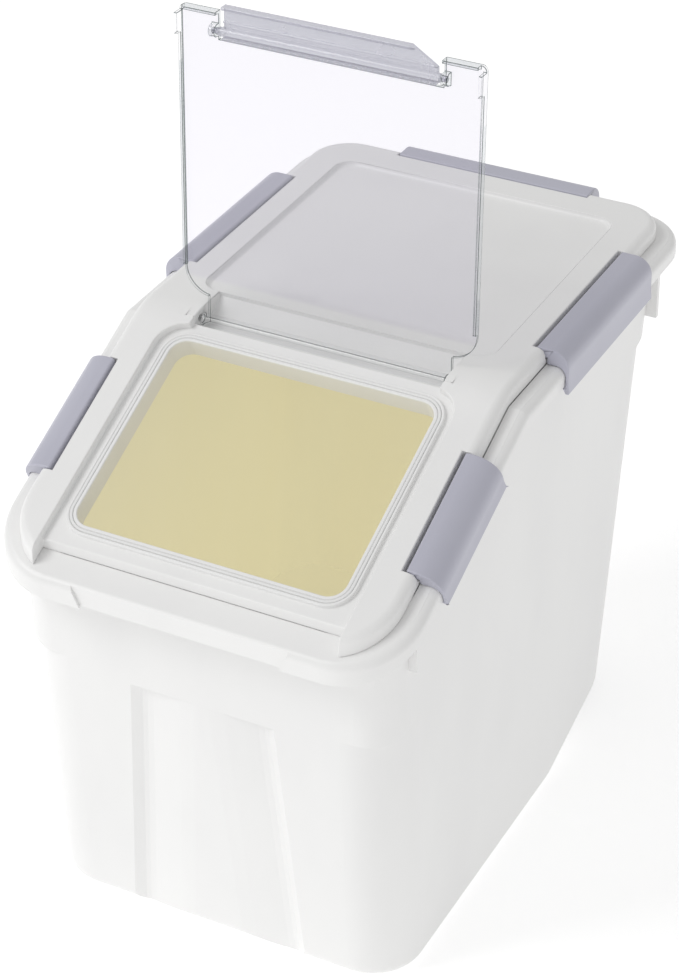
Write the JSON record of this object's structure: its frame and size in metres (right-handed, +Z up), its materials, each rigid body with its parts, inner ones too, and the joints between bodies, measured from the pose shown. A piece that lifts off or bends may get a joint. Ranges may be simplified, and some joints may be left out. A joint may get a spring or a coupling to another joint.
{
  "type": "pet food bin",
  "caption": "Tapered storage bin for dry pet food with a latched lid, a sloping front with a clear hinged scoop flap, and rear wheels.",
  "frame": {"origin": "on the floor under the middle of the bin's footprint", "axes": "+Z up, the sloping front with the scoop flap faces -Y, +X is the bin's right side seen from the front"},
  "size_m": [0.23, 0.366, 0.451],
  "materials": {
    "white_shell": "satin moulded",
    "soft_seal": "soft white silicone",
    "clear_flap": "clear moulded plastic",
    "clear_grey": "clear grey moulded plastic",
    "grey_latch": "satin moulded",
    "axle_steel": "drawn rod",
    "cap_steel": "pressed",
    "wheel_plastic": "moulded"
  },
  "bodies": {
    "bin": {"bin_body": "white_shell", "rear_axle": "axle_steel", "axle_cap_right": "cap_steel", "axle_cap_left": "cap_steel"},
    "lid": {"lid": "white_shell", "lid_gasket": "soft_seal", "flap_gasket": "soft_seal"},
    "flap": {"flap": "clear_flap"},
    "flap_latch": {"flap_latch": "clear_grey"},
    "latch_right_rear": {"latch_right_rear": "grey_latch"},
    "latch_left_rear": {"latch_left_rear": "grey_latch"},
    "latch_right_front": {"latch_right_front": "grey_latch"},
    "latch_left_front": {"latch_left_front": "grey_latch"},
    "latch_rear": {"latch_rear": "grey_latch"},
    "wheel_right": {"wheel_right": "wheel_plastic"},
    "wheel_left": {"wheel_left": "wheel_plastic"}
  },
  "joints": [
    {"name": "lid_lift", "type": "slide", "parent": "bin", "child": "lid", "axis": [0, 0, 1], "range_m": [0, 0.18]},
    {"name": "flap_hinge", "type": "hinge", "parent": "lid", "child": "flap", "pos_m": [0, -0.03199, 0.28248], "axis": [1, 0, 0], "range_deg": [0, 116.2]},
    {"name": "flap_latch_pivot", "type": "hinge", "parent": "flap", "child": "flap_latch", "pos_m": [0, -0.02243, 0.43768], "axis": [1, 0, 0], "range_deg": [0, 24]},
    {"name": "latch_right_rear_pivot", "type": "hinge", "parent": "lid", "child": "latch_right_rear", "pos_m": [0.0993, 0.0635, 0.285], "axis": [0, -1, 0], "range_deg": [0, 100]},
    {"name": "latch_left_rear_pivot", "type": "hinge", "parent": "lid", "child": "latch_left_rear", "pos_m": [-0.0993, 0.0635, 0.285], "axis": [0, 1, 0], "range_deg": [0, 100]},
    {"name": "latch_right_front_pivot", "type": "hinge", "parent": "lid", "child": "latch_right_front", "pos_m": [0.0993, -0.10209, 0.25565], "axis": [0, -0.9135, -0.4067], "range_deg": [0, 100]},
    {"name": "latch_left_front_pivot", "type": "hinge", "parent": "lid", "child": "latch_left_front", "pos_m": [-0.0993, -0.10209, 0.25565], "axis": [0, 0.9135, 0.4067], "range_deg": [0, 100]},
    {"name": "latch_rear_pivot", "type": "hinge", "parent": "lid", "child": "latch_rear", "pos_m": [0, 0.1693, 0.285], "axis": [1, 0, 0], "range_deg": [0, 100]},
    {"name": "wheel_right_roll", "type": "hinge", "parent": "bin", "child": "wheel_right", "pos_m": [0.073, 0.108, 0.014], "axis": [1, 0, 0], "continuous": true},
    {"name": "wheel_left_roll", "type": "hinge", "parent": "bin", "child": "wheel_left", "pos_m": [-0.073, 0.108, 0.014], "axis": [1, 0, 0], "continuous": true}
  ]
}
